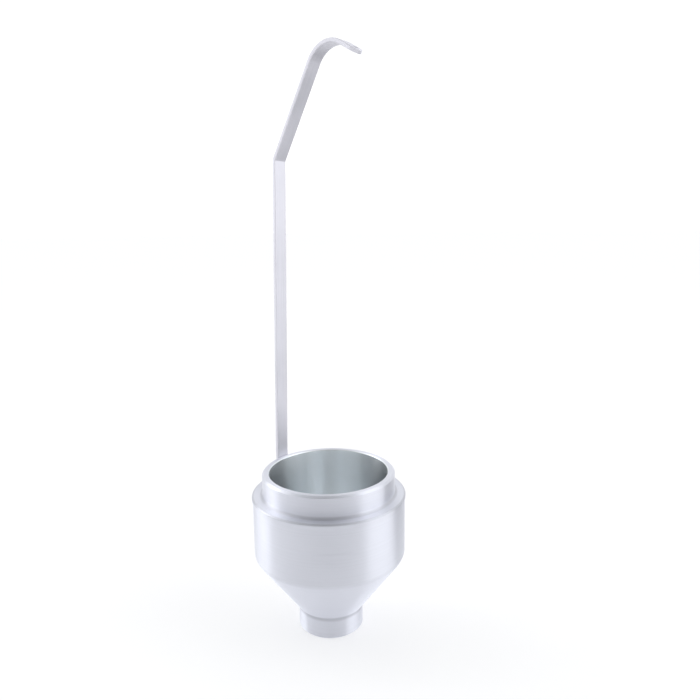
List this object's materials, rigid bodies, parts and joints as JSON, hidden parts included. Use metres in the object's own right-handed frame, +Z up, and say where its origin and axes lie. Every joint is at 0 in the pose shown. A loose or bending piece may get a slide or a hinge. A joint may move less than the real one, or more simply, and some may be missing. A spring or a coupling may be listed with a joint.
{
  "type": "flow cup",
  "caption": "Turned aluminium flow cup with a stepped neck, a narrow collar, a conical base and a pressed jet, on a long bent strap handle that ends in a hook with a hanging hole.",
  "frame": {"origin": "on the cup's axis, in the plane of the base that the cup stands on", "axes": "+Z up along the cup's axis, towards the rim and the hook; +Y from the axis to the foot of the handle; the handle lies in the plane X = 0"},
  "size_m": [0.065, 0.065, 0.2386],
  "materials": {
    "turned_aluminium": "fine turned satin",
    "polished_steel": "polished",
    "strap_steel": "brushed along the strap",
    "screw_steel": "plain"
  },
  "bodies": {
    "root": {"cup_body": "turned_aluminium", "jet": "polished_steel", "handle_strap": "strap_steel", "handle_screws": "screw_steel"}
  },
  "joints": []
}
